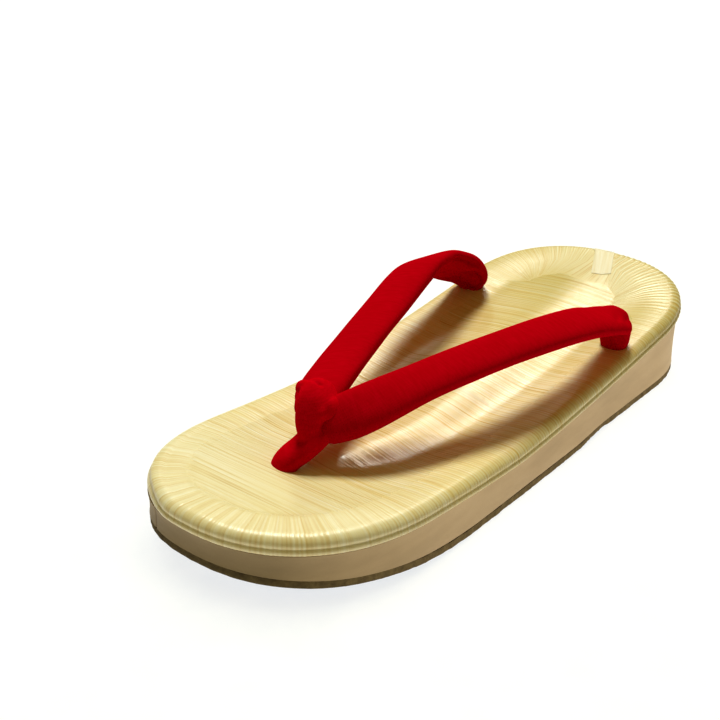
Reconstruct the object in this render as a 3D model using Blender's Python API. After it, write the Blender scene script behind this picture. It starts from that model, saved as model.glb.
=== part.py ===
"""A zori sandal: a wedge sole with a padded top cover, and two padded cloth straps joined at a toe loop.

Metres, +Z up, the toe toward -Y, the heel toward +Y and the wearer's left side toward +X.
The origin is on the ground, in the middle of the sandal's length and width.
"""

import math

import bmesh
import bpy
from mathutils import Matrix, Vector

MM = 0.001
GAP = 0.3 * MM

# The sole's outline, seen from above: straight sides between two rounded ends.
LENGTH = 260.0 * MM
WIDTH = 93.8 * MM
TOE_END, TOE_POWER = 60.0 * MM, 2.3
HEEL_END, HEEL_POWER = 48.0 * MM, 2.3
END_STEPS = 14
SIDE_STEPS = 18

# The crease, where the cover meets the side: lowest just ahead of the middle.
CREASE_LOW, CREASE_LOW_Y = 12.7 * MM, -20.0 * MM
TOE_RISE, HEEL_RISE, RISE_POWER = 9.8 * MM, 16.5 * MM, 1.4

# The ground line: a sprung toe, a flat forefoot, a shallow arch and a heel lift with a slanted front.
TOE_SPRING, TOE_SPRING_Y, SPRING_POWER = 12.0 * MM, -45.0 * MM, 1.6
ARCH_HEIGHT, ARCH_START_Y, ARCH_END_Y = 1.5 * MM, -10.0 * MM, 30.0 * MM
LIFT_FRONT_Y, LIFT_FLAT_Y = 38.0 * MM, 43.0 * MM
OUTSOLE_THICKNESS, OUTSOLE_ARCH_STEP = 2.8 * MM, 0.8 * MM
OUTSOLE_INSET, OUTSOLE_BEVEL = 0.9 * MM, 0.5 * MM

# The side wrap and the midsole inside it.
WRAP_TOP_INSET, WRAP_FOOT_INSET, WRAP_WAIST = 0.7 * MM, 0.7 * MM, 0.35 * MM
WRAP_THICKNESS = 1.0 * MM
WRAP_JOINT_X = -30.0 * MM

# The cover's edge, from its underside up: a bead, a groove and a rolled rim, then a low crown.
# Each row holds the distance in from the outline and the height above the crease, in millimetres.
COVER_EDGE = (
    ("under the edge", 0.9, 0.0),
    ("bead, lower side", 0.0, 0.25),
    ("bead, widest", -0.5, 1.1),
    ("bead, upper side", -0.1, 1.95),
    ("groove", 0.4, 2.3),
    ("rim, lower side", 0.1, 2.7),
)
RIM_IN, RIM_UP, RIM_STEPS = 4.6 * MM, 3.2 * MM, 5
COVER_CROWN = (
    ("inside the rim", 7.5, 6.2),
    ("shoulder", 12.0, 6.55),
    ("middle", 20.0, 6.8),
)

# The three holes, with the pockets below them that take the strap ends.
FRONT_HOLE = (0.0, -87.0 * MM)
REAR_HOLE = (37.0 * MM, 64.0 * MM)
HOLE_RADIUS = 4.5 * MM
POCKET_DEPTH = 6.0 * MM
CORD_RADIUS = 4.0 * MM
FRONT_CORD_RISE, REAR_CORD_RISE = 2.6 * MM, 5.4 * MM

# The straps' two arms, from the apex under the toe loop back to the rear holes. They hang a little
# differently, as cloth does. Millimetres and degrees; a tilt lowers the arm's outer edge.
RIGHT_ARM = (
    # x, y, z, width, thickness, tilt
    (1.0, -74.5, 36.8, 8.0, 5.0, 44.0),
    (2.2, -72.0, 36.4, 11.6, 7.0, 44.0),
    (4.8, -67.0, 35.8, 14.4, 8.0, 42.0),
    (8.6, -60.0, 36.2, 16.4, 8.0, 32.0),
    (15.2, -40.0, 39.8, 17.2, 7.4, 11.0),
    (21.2, -20.0, 41.9, 17.6, 7.2, 11.0),
    (27.4, 0.0, 43.4, 17.4, 7.0, 10.0),
    (33.2, 20.0, 43.8, 17.4, 7.0, 9.0),
    (36.6, 36.0, 42.4, 17.0, 7.2, 9.0),
    (37.6, 48.0, 39.4, 16.6, 8.0, 12.0),
    (37.6, 57.0, 35.2, 16.0, 9.4, 16.0),
    (37.4, 61.8, 32.0, 13.4, 9.6, 10.0),
    (37.2, 64.2, 30.4, 9.4, 8.2, 4.0),
)
LEFT_ARM = (
    # x, y, z, width, thickness, tilt
    (1.0, -74.5, 38.0, 8.0, 5.0, 14.0),
    (2.2, -72.0, 38.2, 11.6, 7.0, 12.0),
    (4.4, -67.0, 38.6, 14.6, 7.6, 10.0),
    (7.8, -60.0, 38.9, 17.2, 7.6, 10.0),
    (15.3, -40.0, 40.1, 17.8, 7.2, 10.0),
    (21.4, -20.0, 42.2, 17.8, 7.0, 10.0),
    (27.6, 0.0, 43.8, 17.8, 7.0, 10.0),
    (33.4, 20.0, 45.4, 17.6, 7.0, 14.0),
    (36.2, 36.0, 45.8, 17.4, 7.2, 24.0),
    (36.9, 49.0, 43.8, 17.0, 7.8, 36.0),
    (36.8, 57.5, 40.4, 16.2, 8.6, 38.0),
    (36.5, 63.2, 36.4, 14.0, 8.8, 28.0),
    (36.7, 66.0, 32.6, 10.4, 8.4, 12.0),
    (36.9, 66.4, 30.6, 8.2, 7.6, 4.0),
)
ARM_SIDES = 16
ARM_STEPS = 4

# The toe loop: a band round the straps' apex on a stem that leans forward to the front hole.
LOOP_CENTRE = (1.4 * MM, -69.4 * MM, 39.4 * MM)
LOOP_HALF = (8.2 * MM, 8.4 * MM, 10.4 * MM)
LOOP_RINGS = 12
LOOP_SQUARENESS = 0.75
STEM = (
    # x, y, z, width, thickness, tilt
    (0.0, -70.0, 34.0, 12.0, 9.0, 0.0),
    (0.0, -75.5, 31.8, 11.4, 8.8, 0.0),
    (0.0, -81.0, 29.4, 10.8, 8.4, 0.0),
    (0.0, -85.4, 27.6, 9.2, 7.2, 0.0),
    (0.0, -87.4, 26.8, 7.0, 4.4, 0.0),
)


def clear_scene():
    for obj in list(bpy.data.objects):
        bpy.data.objects.remove(obj, do_unlink=True)


def material(name, colour, roughness, coat=0.0):
    made = bpy.data.materials.new(name)
    made.use_nodes = True
    shader = made.node_tree.nodes["Principled BSDF"]
    shader.inputs["Base Color"].default_value = (*colour, 1.0)
    shader.inputs["Roughness"].default_value = roughness
    shader.inputs["Metallic"].default_value = 0.0
    shader.inputs["Coat Weight"].default_value = coat
    return made


def add_object(name, mesh, finish=None):
    obj = bpy.data.objects.new(name, mesh)
    bpy.context.scene.collection.objects.link(obj)
    if finish:
        mesh.materials.append(finish)
        mesh.shade_smooth()
        mesh.set_sharp_from_angle(angle=math.radians(35))
    return obj


def make_cutter(obj):
    obj.hide_render = True
    obj.display_type = "WIRE"
    return obj


def combine(obj, other, operation):
    step = obj.modifiers.new(f"{operation.title()} {other.name}", "BOOLEAN")
    step.operation = operation
    step.object = other


def smoothstep(value, start, end):
    part = min(max((value - start) / (end - start), 0.0), 1.0)
    return part * part * (3 - 2 * part)


def crease_height(y):
    """The height of the line where the cover meets the side wrap."""
    ahead = max(CREASE_LOW_Y - y, 0.0) / (CREASE_LOW_Y + LENGTH / 2)
    behind = max(y - CREASE_LOW_Y, 0.0) / (LENGTH / 2 - CREASE_LOW_Y)
    return CREASE_LOW + TOE_RISE * ahead**RISE_POWER + HEEL_RISE * behind**RISE_POWER


def toe_spring(y):
    ahead = max(TOE_SPRING_Y - y, 0.0) / (TOE_SPRING_Y + LENGTH / 2)
    return TOE_SPRING * ahead**SPRING_POWER


def ground_line(y):
    """The height of the outsole's underside."""
    if y >= LIFT_FLAT_Y:
        return 0.0
    arch = ARCH_HEIGHT * smoothstep(y, ARCH_START_Y, ARCH_END_Y)
    lift = max(y - LIFT_FRONT_Y, 0.0) / (LIFT_FLAT_Y - LIFT_FRONT_Y)
    return toe_spring(y) + arch * (1 - lift)


def sole_line(y):
    """The height of the outsole's top face, which the midsole and the wrap stand on."""
    return toe_spring(y) + OUTSOLE_THICKNESS + OUTSOLE_ARCH_STEP * smoothstep(y, ARCH_START_Y, ARCH_END_Y)


def end_points(length, power, tip_y, toward):
    """Points and outward normals of one rounded end, from its tip to the straight side."""
    made = []
    for step in range(END_STEPS + 1):
        angle = step / END_STEPS * math.pi / 2
        across = math.sin(angle) ** (2 / power)
        along = math.cos(angle) ** (2 / power)
        normal = Vector((across ** (power - 1) / (WIDTH / 2), toward * along ** (power - 1) / length))
        point = Vector((WIDTH / 2 * across, tip_y - toward * length * (1 - along)))
        made.append((point, normal.normalized()))
    return made


def half_outline():
    """The outline's points and normals down the +X side, from the toe's tip to the heel's tip."""
    toe = end_points(TOE_END, TOE_POWER, -LENGTH / 2, -1)
    heel = end_points(HEEL_END, HEEL_POWER, LENGTH / 2, 1)
    start, end = toe[-1][0].y, heel[-1][0].y
    lift = {LIFT_FRONT_Y, LIFT_FLAT_Y}
    stations = {start + (end - start) * step / SIDE_STEPS for step in range(1, SIDE_STEPS)}
    near_lift = {y for y in stations if min(abs(y - edge) for edge in lift) < 1.5 * MM}
    side = [
        (Vector((WIDTH / 2, y)), Vector((1.0, 0.0)))
        for y in sorted((stations - near_lift) | lift)
    ]
    return toe + side + heel[::-1]


def ring(inset, height, outline):
    """One closed row of points at this inset, its height read from each point's own place."""
    side = [point - normal * inset for point, normal in outline]
    points = [Vector((p.x, p.y, height(p.y))) for p in side]
    mirrored = [Vector((-p.x, p.y, p.z)) for p in points[-2:0:-1]]
    return points + mirrored


def add_rungs(mesh, row, up):
    """Closes a row with faces across the sandal, from the toe's tip to the heel's."""
    count = len(row)
    heel = count // 2
    for step in range(heel):
        left, right = (count - step) % count, step
        corners = [row[left], row[right], row[right + 1], row[count - step - 1]]
        unique = list(dict.fromkeys(corners))
        mesh.faces.new(unique if up else unique[::-1])


def layered_solid(name, rows):
    """A closed solid from rows of points, lowest first, flat across at both ends."""
    mesh = bmesh.new()
    placed = [[mesh.verts.new(point) for point in row] for row in rows]
    for lower, upper in zip(placed, placed[1:]):
        count = len(lower)
        for step in range(count):
            after = (step + 1) % count
            mesh.faces.new((lower[step], lower[after], upper[after], upper[step]))
    add_rungs(mesh, placed[0], up=False)
    add_rungs(mesh, placed[-1], up=True)
    bmesh.ops.recalc_face_normals(mesh, faces=mesh.faces)
    made = bpy.data.meshes.new(name)
    mesh.to_mesh(made)
    mesh.free()
    return made


def build_outsole(outline):
    rows = [
        ring(OUTSOLE_INSET + OUTSOLE_BEVEL, ground_line, outline),
        ring(OUTSOLE_INSET, lambda y: ground_line(y) + OUTSOLE_BEVEL, outline),
        ring(OUTSOLE_INSET, sole_line, outline),
    ]
    finish = material("outsole_rubber", (0.045, 0.030, 0.010), 0.75)
    return add_object("outsole", layered_solid("outsole", rows), finish)


def wall_height(part):
    """A height function: this part of the way from the outsole up to the cover."""

    def height(y):
        foot = sole_line(y) + GAP
        return foot + (crease_height(y) - GAP - foot) * part

    return height


def wall_inset(part):
    """How far in the wrap's outer face is, at this part of its height."""
    return WRAP_FOOT_INSET + (WRAP_TOP_INSET - WRAP_FOOT_INSET) * part + WRAP_WAIST * math.sin(math.pi * part)


def build_midsole(outline):
    inside = WRAP_THICKNESS + GAP
    rows = [ring(wall_inset(part) + inside, wall_height(part), outline) for part in (0.0, 0.5, 1.0)]
    finish = material("midsole_sponge", (0.30, 0.22, 0.14), 0.9)
    return add_object("midsole", layered_solid("midsole", rows), finish)


def build_side_wrap(outline):
    parts = (0.0, 0.5, 1.0)
    outer = [ring(wall_inset(part), wall_height(part), outline) for part in parts]
    inner = [ring(wall_inset(part) + WRAP_THICKNESS, wall_height(part), outline) for part in parts]
    loop = outer + inner[::-1]
    mesh = bmesh.new()
    placed = [[mesh.verts.new(point) for point in row] for row in loop]
    for lower, upper in zip(placed, placed[1:] + placed[:1]):
        count = len(lower)
        for step in range(count):
            after = (step + 1) % count
            mesh.faces.new((lower[step], lower[after], upper[after], upper[step]))
    bmesh.ops.recalc_face_normals(mesh, faces=mesh.faces)
    made = bpy.data.meshes.new("side_wrap")
    mesh.to_mesh(made)
    mesh.free()
    wrap = add_object("side_wrap", made, material("side_wrap_vinyl", (0.38, 0.27, 0.17), 0.5))
    combine(wrap, build_joint_cutter(outline), "DIFFERENCE")
    return wrap


def build_joint_cutter(outline):
    """A thin upright plate that parts the wrap at its joint, beside the toe's tip."""
    point, normal = min(outline, key=lambda pair: abs(pair[0].x - abs(WRAP_JOINT_X)))
    place = Vector((-point.x, point.y, crease_height(point.y) / 2))
    mesh = bmesh.new()
    bmesh.ops.create_cube(mesh, size=1.0)
    bmesh.ops.scale(mesh, vec=(GAP, 8 * MM, 60 * MM), verts=mesh.verts)
    turn = Matrix.Rotation(math.atan2(normal.x, -normal.y) * -1, 3, "Z")
    bmesh.ops.rotate(mesh, cent=(0, 0, 0), matrix=turn, verts=mesh.verts)
    bmesh.ops.translate(mesh, vec=place, verts=mesh.verts)
    made = bpy.data.meshes.new("wrap_joint")
    mesh.to_mesh(made)
    mesh.free()
    return make_cutter(add_object("wrap_joint_cutter", made))


def cover_rows():
    """The cover's whole profile, as pairs of inset and height above the crease."""
    rows = [(inset * MM, up * MM) for _, inset, up in COVER_EDGE]
    lower_inset, lower_up = rows[-1]
    for step in range(1, RIM_STEPS + 1):
        angle = step / RIM_STEPS * math.radians(84)
        inset = lower_inset + RIM_IN * (1 - math.cos(angle))
        rows.append((inset, lower_up + RIM_UP * math.sin(angle)))
    return rows + [(inset * MM, up * MM) for _, inset, up in COVER_CROWN]


def build_top_cover(outline):
    rows = [
        ring(inset, lambda y, up=up: crease_height(y) + up, outline)
        for inset, up in cover_rows()
    ]
    finish = material("cover_vinyl", (0.80, 0.66, 0.30), 0.3, coat=0.5)
    return add_object("top_cover", layered_solid("top_cover", rows), finish)


def cover_top(y):
    """The height of the cover's upper face, away from its rim."""
    return crease_height(y) + COVER_CROWN[1][2] * MM


def hole_places():
    x, y = REAR_HOLE
    return {"front": FRONT_HOLE, "rear_left": (x, y), "rear_right": (-x, y)}


def cut_holes(cover, midsole):
    """Drills each hole through the cover and into the midsole."""
    for name, (x, y) in hole_places().items():
        low = crease_height(y) - POCKET_DEPTH
        high = cover_top(y) + 4 * MM
        mesh = bmesh.new()
        bmesh.ops.create_cone(
            mesh,
            cap_ends=True,
            segments=20,
            radius1=HOLE_RADIUS,
            radius2=HOLE_RADIUS,
            depth=high - low,
            matrix=Matrix.Translation((x, y, (high + low) / 2)),
        )
        made = bpy.data.meshes.new(f"{name}_hole")
        mesh.to_mesh(made)
        mesh.free()
        cutter = make_cutter(add_object(f"{name}_hole_cutter", made))
        combine(cover, cutter, "DIFFERENCE")
        combine(midsole, cutter, "DIFFERENCE")


def smooth_rows(rows, steps):
    """Rows read from a smooth curve through the given ones."""
    made = []
    last = len(rows) - 1
    for index in range(last):
        before, start = rows[max(index - 1, 0)], rows[index]
        end, after = rows[index + 1], rows[min(index + 2, last)]
        for step in range(steps):
            t = step / steps
            made.append(
                [
                    b + 0.5 * t * (c - a + t * (2 * a - 5 * b + 4 * c - d + t * (3 * (b - c) + d - a)))
                    for a, b, c, d in zip(before, start, end, after)
                ]
            )
    return made + [list(rows[-1])]


def band(rows, grow=0.0):
    """A closed flattened tube through rows of x, y, z, width, thickness and tilt."""
    places = [Vector(row[:3]) * MM for row in rows]
    mesh = bmesh.new()
    rings = []
    across = None
    for index, row in enumerate(rows):
        ahead = places[min(index + 1, len(rows) - 1)] - places[max(index - 1, 0)]
        ahead.normalize()
        if across is None:
            across = ahead.cross(Vector((0, 0, 1)))
        across = (across - ahead * across.dot(ahead)).normalized()
        turned = Matrix.Rotation(math.radians(row[5]), 3, ahead) @ across
        outward = turned.cross(ahead)
        half_width, half_depth = row[3] * MM / 2 + grow, row[4] * MM / 2 + grow
        # Round where the band is as thick as it is wide, and squarer where it is flat.
        power = 2 + 0.5 * min(max(row[3] / row[4] - 1, 0), 1)
        points = []
        for side in range(ARM_SIDES):
            angle = 2 * math.pi * side / ARM_SIDES
            sine, cosine = math.sin(angle), math.cos(angle)
            a = math.copysign(abs(cosine) ** (2 / power), cosine) * half_width
            b = math.copysign(abs(sine) ** (2 / power), sine) * half_depth
            points.append(mesh.verts.new(places[index] + turned * a + outward * b))
        rings.append(points)
    for lower, upper in zip(rings, rings[1:]):
        for side in range(ARM_SIDES):
            after = (side + 1) % ARM_SIDES
            mesh.faces.new((lower[side], lower[after], upper[after], upper[side]))
    mesh.faces.new(rings[0][::-1])
    mesh.faces.new(rings[-1])
    # The twisted faces aren't flat, and a Boolean needs flat ones.
    bmesh.ops.triangulate(mesh, faces=mesh.faces)
    bmesh.ops.recalc_face_normals(mesh, faces=mesh.faces)
    return mesh


def band_object(name, rows, grow=0.0, mirrored=False, finish=None):
    mesh = band(rows, grow)
    if mirrored:
        bmesh.ops.scale(mesh, vec=(-1, 1, 1), verts=mesh.verts)
        bmesh.ops.reverse_faces(mesh, faces=mesh.faces)
    made = bpy.data.meshes.new(name)
    mesh.to_mesh(made)
    mesh.free()
    return add_object(name, made, finish)


def build_cord(name, place, rise):
    """The round cord that goes straight down from a strap's end through its hole."""
    x, y = place
    low = crease_height(y) - POCKET_DEPTH + 0.5 * MM
    high = cover_top(y) + rise
    mesh = bmesh.new()
    bmesh.ops.create_cone(
        mesh,
        cap_ends=True,
        segments=20,
        radius1=CORD_RADIUS,
        radius2=CORD_RADIUS,
        depth=high - low,
        matrix=Matrix.Translation((x, y, (high + low) / 2)),
    )
    made = bpy.data.meshes.new(name)
    mesh.to_mesh(made)
    mesh.free()
    return make_cutter(add_object(name, made))


def build_straps(cloth):
    x, y = REAR_HOLE
    straps = band_object("straps", smooth_rows(RIGHT_ARM, ARM_STEPS), finish=cloth)
    left = make_cutter(band_object("left_arm", smooth_rows(LEFT_ARM, ARM_STEPS), mirrored=True))
    right_cord = build_cord("right_cord", (x, y), REAR_CORD_RISE)
    left_cord = build_cord("left_cord", (-x, y), REAR_CORD_RISE)
    for piece in (left, right_cord, left_cord):
        combine(straps, piece, "UNION")
    return straps


def build_apex_room():
    """The straps' front ends with the gap round them, which the toe loop is hollowed by."""
    rooms = [
        make_cutter(band_object(name, smooth_rows(arm[:5], ARM_STEPS), grow=GAP, mirrored=mirrored))
        for name, arm, mirrored in (
            ("right_arm_room", RIGHT_ARM, False),
            ("left_arm_room", LEFT_ARM, True),
        )
    ]
    combine(rooms[0], rooms[1], "UNION")
    return rooms[0]


def build_toe_loop(cloth):
    mesh = bmesh.new()
    bmesh.ops.create_uvsphere(mesh, u_segments=24, v_segments=LOOP_RINGS, radius=1.0)
    for vert in mesh.verts:
        # Squared off, so that the band keeps its width over the apex.
        x, y, z = vert.co
        wide, deep, tall = (math.copysign(abs(part) ** LOOP_SQUARENESS, part) for part in (x, y, z))
        vert.co = Vector((wide * LOOP_HALF[0], deep * LOOP_HALF[1], tall * LOOP_HALF[2]))
    bmesh.ops.translate(mesh, vec=LOOP_CENTRE, verts=mesh.verts)
    bmesh.ops.triangulate(mesh, faces=mesh.faces)
    made = bpy.data.meshes.new("toe_loop")
    mesh.to_mesh(made)
    mesh.free()
    loop = add_object("toe_loop", made, cloth)
    combine(loop, make_cutter(band_object("toe_loop_stem", smooth_rows(STEM, 3))), "UNION")
    combine(loop, build_cord("toe_loop_cord", FRONT_HOLE, FRONT_CORD_RISE), "UNION")
    combine(loop, build_apex_room(), "DIFFERENCE")
    return loop


def main():
    clear_scene()
    outline = half_outline()
    build_outsole(outline)
    midsole = build_midsole(outline)
    build_side_wrap(outline)
    cover = build_top_cover(outline)
    cut_holes(cover, midsole)
    cloth = material("strap_cloth", (0.45, 0.0, 0.008), 0.85)
    build_straps(cloth)
    build_toe_loop(cloth)


main()
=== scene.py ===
"""A zori sandal: a rush-patterned vinyl cover over a wedge sole, with padded red cloth straps
and a toe loop.

Metres, +Z up, the toe toward -Y, the heel toward +Y, the wearer's left side toward +X.
"""

import math

import bpy
import numpy as np
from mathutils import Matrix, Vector
from mathutils.kdtree import KDTree


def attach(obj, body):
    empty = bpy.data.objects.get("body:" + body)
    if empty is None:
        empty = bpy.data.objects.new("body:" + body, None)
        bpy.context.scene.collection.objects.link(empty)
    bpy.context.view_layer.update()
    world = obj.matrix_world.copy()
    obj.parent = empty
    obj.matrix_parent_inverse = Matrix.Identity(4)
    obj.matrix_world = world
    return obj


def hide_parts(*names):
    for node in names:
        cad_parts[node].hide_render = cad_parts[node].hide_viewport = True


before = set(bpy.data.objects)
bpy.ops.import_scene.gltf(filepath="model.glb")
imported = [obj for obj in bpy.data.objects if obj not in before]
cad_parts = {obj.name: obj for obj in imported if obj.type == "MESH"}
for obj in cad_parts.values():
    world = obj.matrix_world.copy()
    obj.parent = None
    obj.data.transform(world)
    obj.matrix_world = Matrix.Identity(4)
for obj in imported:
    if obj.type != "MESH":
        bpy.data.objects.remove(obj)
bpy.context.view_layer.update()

MM = 0.001

# ---------------------------------------------------------------- sizes, in millimetres

LENGTH, WIDTH = 260.0, 93.8
TOE_END, HEEL_END, END_POWER = 60.0, 48.0, 2.3
CREASE_LOW, CREASE_LOW_Y = 12.7, -20.0
TOE_RISE, HEEL_RISE, RISE_POWER = 9.8, 16.5, 1.4
TOE_SPRING, TOE_SPRING_Y, SPRING_POWER = 12.0, -45.0, 1.6
ARCH_HEIGHT, ARCH_START_Y, ARCH_END_Y = 0.7, 0.0, 34.0
LIFT_FRONT_Y, LIFT_FLAT_Y = 39.5, 44.0
OUTSOLE_THICKNESS, OUTSOLE_ARCH_STEP = 2.8, 0.1
OUTSOLE_INSET, OUTSOLE_TUCK, OUTSOLE_FLARE = 0.9, 1.3, 1.6
# The tread: waved ribs inside a plain border, left out at the front of the heel lift.
TREAD_BORDER, TREAD_PITCH, TREAD_DEPTH, TREAD_STEPS = 5.0, 5.0, 0.7, 40
TREAD_GAP_Y, TREAD_GAP = 40, 6
# The wrap and the core.
WRAP_JOINT_X, WRAP_STEPS, WRAP_WAIST, WRAP_FLARE = -18.5, 12, 0.35, 1.3
CORE_INSET, SPINE_END = 5.2, 84

# The cover's edge from its underside up: distance in from the outline, height above the crease.
COVER_EDGE = (
    ("under the edge", 0.90, 0.00),
    ("bead, foot", 0.30, 0.03),
    ("bead, lower side", 0.02, 0.25),
    ("bead, low", -0.26, 0.62),
    ("bead, widest", -0.38, 1.08),
    ("bead, high", -0.30, 1.56),
    ("bead, upper side", -0.06, 1.92),
    ("groove, lower side", 0.10, 2.12),
    ("groove", 0.19, 2.30),
    ("groove, upper side", 0.12, 2.52),
    ("rim, lower side", 0.02, 2.78),
)
RIM_IN, RIM_UP, RIM_STEPS, RIM_ARC = 4.6, 3.2, 7, math.radians(84)
CROWN = ((4.2, 5.88), (7.5, 6.2), (12.0, 6.5), (20.0, 6.8), (60.0, 6.8))
RIM_BAND, RIM_BAND_STEPS, INNER_STEPS = 15.0, 8, 14
SPOKES = 2300

# The foot bed: how far it sinks inside the rim, and the low mound along its middle.
DISH = (
    # y, depth
    (-131.0, 0.5),
    (-112.0, 0.5),
    (-90.0, 0.7),
    (-72.0, 2.5),
    (-60.0, 3.0),
    (60.0, 3.0),
    (95.0, 2.6),
    (131.0, 1.6),
)
DISH_START, DISH_END = 3.0, 24.0
MOUND = (
    # y, half width at the foot, width of the flank, height
    (-80.0, 0.5, 0.5, 0.0),
    (-74.0, 10.0, 8.0, 1.0),
    (-66.0, 17.5, 12.0, 2.3),
    (-52.0, 22.5, 15.0, 3.1),
    (-33.0, 25.0, 16.0, 3.3),
    (-8.0, 25.0, 17.0, 3.2),
    (17.0, 27.0, 20.0, 3.0),
    (41.0, 29.0, 25.0, 2.9),
    (60.0, 29.0, 28.0, 2.4),
    (90.0, 28.0, 27.0, 1.7),
    (110.0, 24.0, 23.0, 1.0),
    (124.0, 10.0, 10.0, 0.0),
)
MOUND_CREST_X = -1.5

# Where the toe's gathers end: a crease, a low step down, and the bed a little uneven outside them.
TOE_CREASE_IN, TOE_CREASE_WIDTH, TOE_CREASE_DEPTH = 14.0, 1.3, 0.45
TOE_STEP_START, TOE_STEP_END, TOE_STEP_DEPTH = 12.0, 15.5, 0.25
UNEVEN_IN, UNEVEN_WIDTH, UNEVEN_HEIGHT = 10.0, 6.0, 0.20

# How far apart the embossed lines stand along the rim: even, gathered at the toe, and ribbed at
# the heel.
EVEN_PITCH, GATHER_PITCH, RIB_PITCH = 1.3, 1.5, 2.9

# Where the rush fans: both corners of the heel, and the toe hole.
HEEL_FAN = (19.0, 89.0)
HEEL_FAN_START_Y, HEEL_FAN_TURN_Y = 84.0, 93.0
TOE_FAN_START_Y, TOE_FAN_Y = -70.0, -86.0

# The plain strip over the cover's join at the heel, from its foot on the outline to its head.
STRIP_FOOT, STRIP_HEAD, STRIP_WIDTH = (-5.4, 130.0), (4.2, 108.6), 8.3
STRIP_STEPS, STRIP_RIM_STEPS, STRIP_SINK_STEPS, STRIP_ACROSS = 60, 16, 10, 14
STRIP_POINT, STRIP_RAISED, STRIP_SUNK, STRIP_THICKNESS = 0.9, 0.08, 0.10, 0.20

# The toe end turns a little further in on the wearer's right, and the heel's side tucks in.
TOE_TURN_WAY, TOE_TURN_IN = (-0.774, -0.633), 2.2
HEEL_TUCK = 2.2


def smooth(value, start, end):
    """0 up to start and 1 from end on, with an even bend between them."""
    part = np.clip((np.asarray(value, float) - start) / (end - start), 0.0, 1.0)
    return part * part * (3 - 2 * part)


def crease_height(y):
    """Height of the crease under the cover's edge: lowest at the waist, higher toward both ends."""
    ahead = np.maximum(CREASE_LOW_Y - y, 0.0) / (CREASE_LOW_Y + LENGTH / 2)
    behind = np.maximum(y - CREASE_LOW_Y, 0.0) / (LENGTH / 2 - CREASE_LOW_Y)
    return CREASE_LOW + TOE_RISE * ahead**RISE_POWER + HEEL_RISE * behind**RISE_POWER


def toe_spring(y):
    """How far the sole lifts off the ground toward the toe."""
    ahead = np.maximum(TOE_SPRING_Y - y, 0.0) / (TOE_SPRING_Y + LENGTH / 2)
    return TOE_SPRING * ahead**SPRING_POWER


def ground_line(y):
    """The outsole's underside: sprung at the toe and arched ahead of the heel lift."""
    arch = ARCH_HEIGHT * smooth(y, ARCH_START_Y, ARCH_END_Y)
    lift = smooth(y, LIFT_FRONT_Y, LIFT_FLAT_Y)
    return toe_spring(y) + arch * (1 - lift)


def sole_line(y):
    """The outsole's top, on which the wedge stands."""
    step = OUTSOLE_ARCH_STEP * smooth(y, ARCH_START_Y, ARCH_END_Y)
    return toe_spring(y) + OUTSOLE_THICKNESS + step


def wiggle(place, pitch, seed):
    """Smooth random values about nought along a line, one knot every pitch."""
    knots = np.random.default_rng(seed).uniform(-1, 1, 4096)
    at = np.asarray(place) / pitch + 1000.0
    low = np.floor(at).astype(int)
    part = at - low
    part = part * part * (3 - 2 * part)
    return knots[low % 4096] * (1 - part) + knots[(low + 1) % 4096] * part


def outline(count):
    """Points, outward normals and the distance from the toe's tip, evenly spaced round the sole."""
    angle = np.linspace(0, math.pi / 2, 500)
    across = np.sin(angle) ** (2 / END_POWER) * WIDTH / 2
    along = np.cos(angle) ** (2 / END_POWER)
    toe = np.stack([across, -LENGTH / 2 + TOE_END * (1 - along)], 1)
    heel = np.stack([across, LENGTH / 2 - HEEL_END * (1 - along)], 1)[::-1]
    side = np.concatenate([toe, heel])
    loop = np.concatenate([side, side[-2:0:-1] * (-1, 1), side[:1]])
    length = np.concatenate([[0], np.cumsum(np.linalg.norm(np.diff(loop, axis=0), axis=1))])
    at = np.linspace(0, length[-1], count + 1)
    points = np.stack([np.interp(at, length, loop[:, axis]) for axis in (0, 1)], 1)
    ahead = np.roll(points[:-1], -1, 0) - np.roll(points[:-1], 1, 0)
    normals = np.stack([ahead[:, 1], -ahead[:, 0]], 1)
    normals /= np.linalg.norm(normals, axis=1)[:, None]
    normals = np.concatenate([normals, normals[:1]])
    from_toe = np.minimum(at, length[-1] - at)
    return points, normals, from_toe


# ---------------------------------------------------------------- mesh helpers


def deselect():
    if bpy.context.object and bpy.context.object.mode != "OBJECT":
        bpy.ops.object.mode_set(mode="OBJECT")
    bpy.ops.object.select_all(action="DESELECT")


def sheet_of(name, points, lay=None, marks=None):
    """A grid primitive whose vertices are laid at points, an array of rows, in millimetres."""
    rows, columns = points.shape[:2]
    deselect()
    bpy.ops.mesh.primitive_grid_add(x_subdivisions=columns - 1, y_subdivisions=rows - 1, size=2)
    obj = bpy.context.object
    obj.name = obj.data.name = name
    mesh = obj.data
    flat = np.empty(len(mesh.vertices) * 3, np.float32)
    mesh.vertices.foreach_get("co", flat)
    flat = flat.reshape(-1, 3)
    column = np.rint((flat[:, 0] + 1) / 2 * (columns - 1)).astype(int)
    row = np.rint((flat[:, 1] + 1) / 2 * (rows - 1)).astype(int)
    placed = points[row, column] * MM
    mesh.vertices.foreach_set("co", placed.astype(np.float32).ravel())
    if lay is not None:
        uv = mesh.uv_layers[0]
        uv.name = "lay"
        corner = np.empty(len(mesh.loops), np.int32)
        mesh.loops.foreach_get("vertex_index", corner)
        uv.data.foreach_set("uv", (lay[row, column][corner] * MM).astype(np.float32).ravel())
    for mark, values in (marks or {}).items():
        made = mesh.attributes.new(mark, "FLOAT", "POINT")
        made.data.foreach_set("value", values[row, column].astype(np.float32))
    mesh.update()
    return obj


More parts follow.
